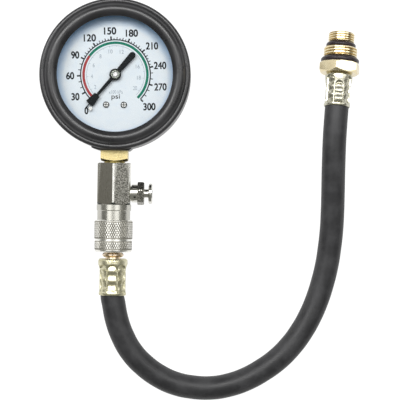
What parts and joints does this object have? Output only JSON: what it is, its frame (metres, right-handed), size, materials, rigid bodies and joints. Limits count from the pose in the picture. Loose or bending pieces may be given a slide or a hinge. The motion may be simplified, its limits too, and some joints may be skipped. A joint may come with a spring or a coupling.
{
  "type": "compression tester gauge",
  "caption": "Dial compression tester gauge in a rubber boot, with release valve, knurled quick coupler, short hose and threaded spark-plug adapter.",
  "frame": {"origin": "centre of the boot's flat back, on the pointer's axis", "axes": "+Z out of the dial's face, +Y towards the top of the dial, with the stem pointing to -Y"},
  "size_m": [0.1707, 0.2135, 0.03],
  "materials": {
    "boot_rubber": "matt moulded",
    "pressed_steel": "pressed",
    "screw_steel": "turned",
    "window_glass": "clear",
    "seal_rubber": "semi-gloss",
    "dial_enamel": "printed enamel",
    "pointer_black": "satin",
    "bright_nickel": "bright nickel plate",
    "grey_nickel": "nickel plate",
    "brass": "turned",
    "ferrule_zinc": "yellow plated and crimped",
    "hose_rubber": "matt"
  },
  "bodies": {
    "gauge": {"boot": "boot_rubber", "case": "pressed_steel", "case_screws": "screw_steel", "bezel_ring": "pressed_steel", "lens": "window_glass", "lens_gasket": "seal_rubber", "dial": "dial_enamel", "dial_posts": "brass", "dial_screws": "bright_nickel", "stop_pin": "screw_steel", "hairspring": "screw_steel", "bourdon_tube": "brass", "socket": "brass", "bottom_plate": "brass", "top_plate": "brass", "plate_pillars": "brass", "plate_screws": "screw_steel", "valve_block": "grey_nickel", "release_body": "grey_nickel", "release_spring": "screw_steel", "coupler_body": "bright_nickel", "sleeve_spring": "screw_steel", "locking_balls": "screw_steel", "retaining_ring": "screw_steel", "coupler_seal": "seal_rubber"},
    "hand": {"pointer": "pointer_black", "pointer_bush": "bright_nickel", "pinion_arbor": "screw_steel"},
    "sector": {"sector_gear": "brass"},
    "link": {"link": "brass"},
    "button": {"release_button": "bright_nickel", "release_seal": "seal_rubber"},
    "sleeve": {"coupler_sleeve": "bright_nickel"},
    "line": {"hose_plug": "brass", "gauge_ferrule": "ferrule_zinc", "hose": "hose_rubber", "adapter_ferrule": "ferrule_zinc", "adapter": "brass", "large_ring": "seal_rubber", "small_ring": "seal_rubber", "check_body": "brass", "check_spring": "screw_steel"},
    "check": {"check_pin": "screw_steel"}
  },
  "joints": [
    {"name": "pointer_turn", "type": "hinge", "parent": "gauge", "child": "hand", "pos_m": [0, 0, 0.0219], "axis": [0, 0, -1], "range_deg": [0, 272], "stiffness_Nm_per_rad": 0.0002, "springref_deg": -11.46, "deforming": ["hairspring", "bourdon_tube"]},
    {"name": "sector_swing", "type": "hinge", "parent": "gauge", "child": "sector", "pos_m": [0, -0.0135, 0.0115], "axis": [0, 0, 1], "range_deg": [0, 34]},
    {"name": "link_swing", "type": "hinge", "parent": "sector", "child": "link", "pos_m": [-0.00146, -0.01828, 0.0124], "axis": [0, 0, -1], "range_deg": [0, 34]},
    {"name": "button_press", "type": "slide", "parent": "gauge", "child": "button", "axis": [-1, 0, 0], "range_m": [0, 0.002], "stiffness_N_per_m": 500, "springref_m": -0.002, "deforming": ["release_spring"]},
    {"name": "sleeve_slide", "type": "slide", "parent": "gauge", "child": "sleeve", "axis": [0, 1, 0], "range_m": [0, 0.004], "stiffness_N_per_m": 800, "springref_m": -0.002, "deforming": ["sleeve_spring"]},
    {"name": "hose_turn", "type": "hinge", "parent": "gauge", "child": "line", "pos_m": [0, -0.0885, 0.013], "axis": [0, 1, 0], "continuous": true},
    {"name": "check_lift", "type": "slide", "parent": "line", "child": "check", "axis": [-0.0606, -0.9907, 0.1219], "range_m": [0, 0.0015], "stiffness_N_per_m": 200, "springref_m": -0.001, "deforming": ["check_spring"]}
  ],
  "couplings": [
    {"joint": "sector_swing", "follows": "pointer_turn", "ratio": 0.125},
    {"joint": "link_swing", "follows": "pointer_turn", "ratio": 0.125}
  ]
}
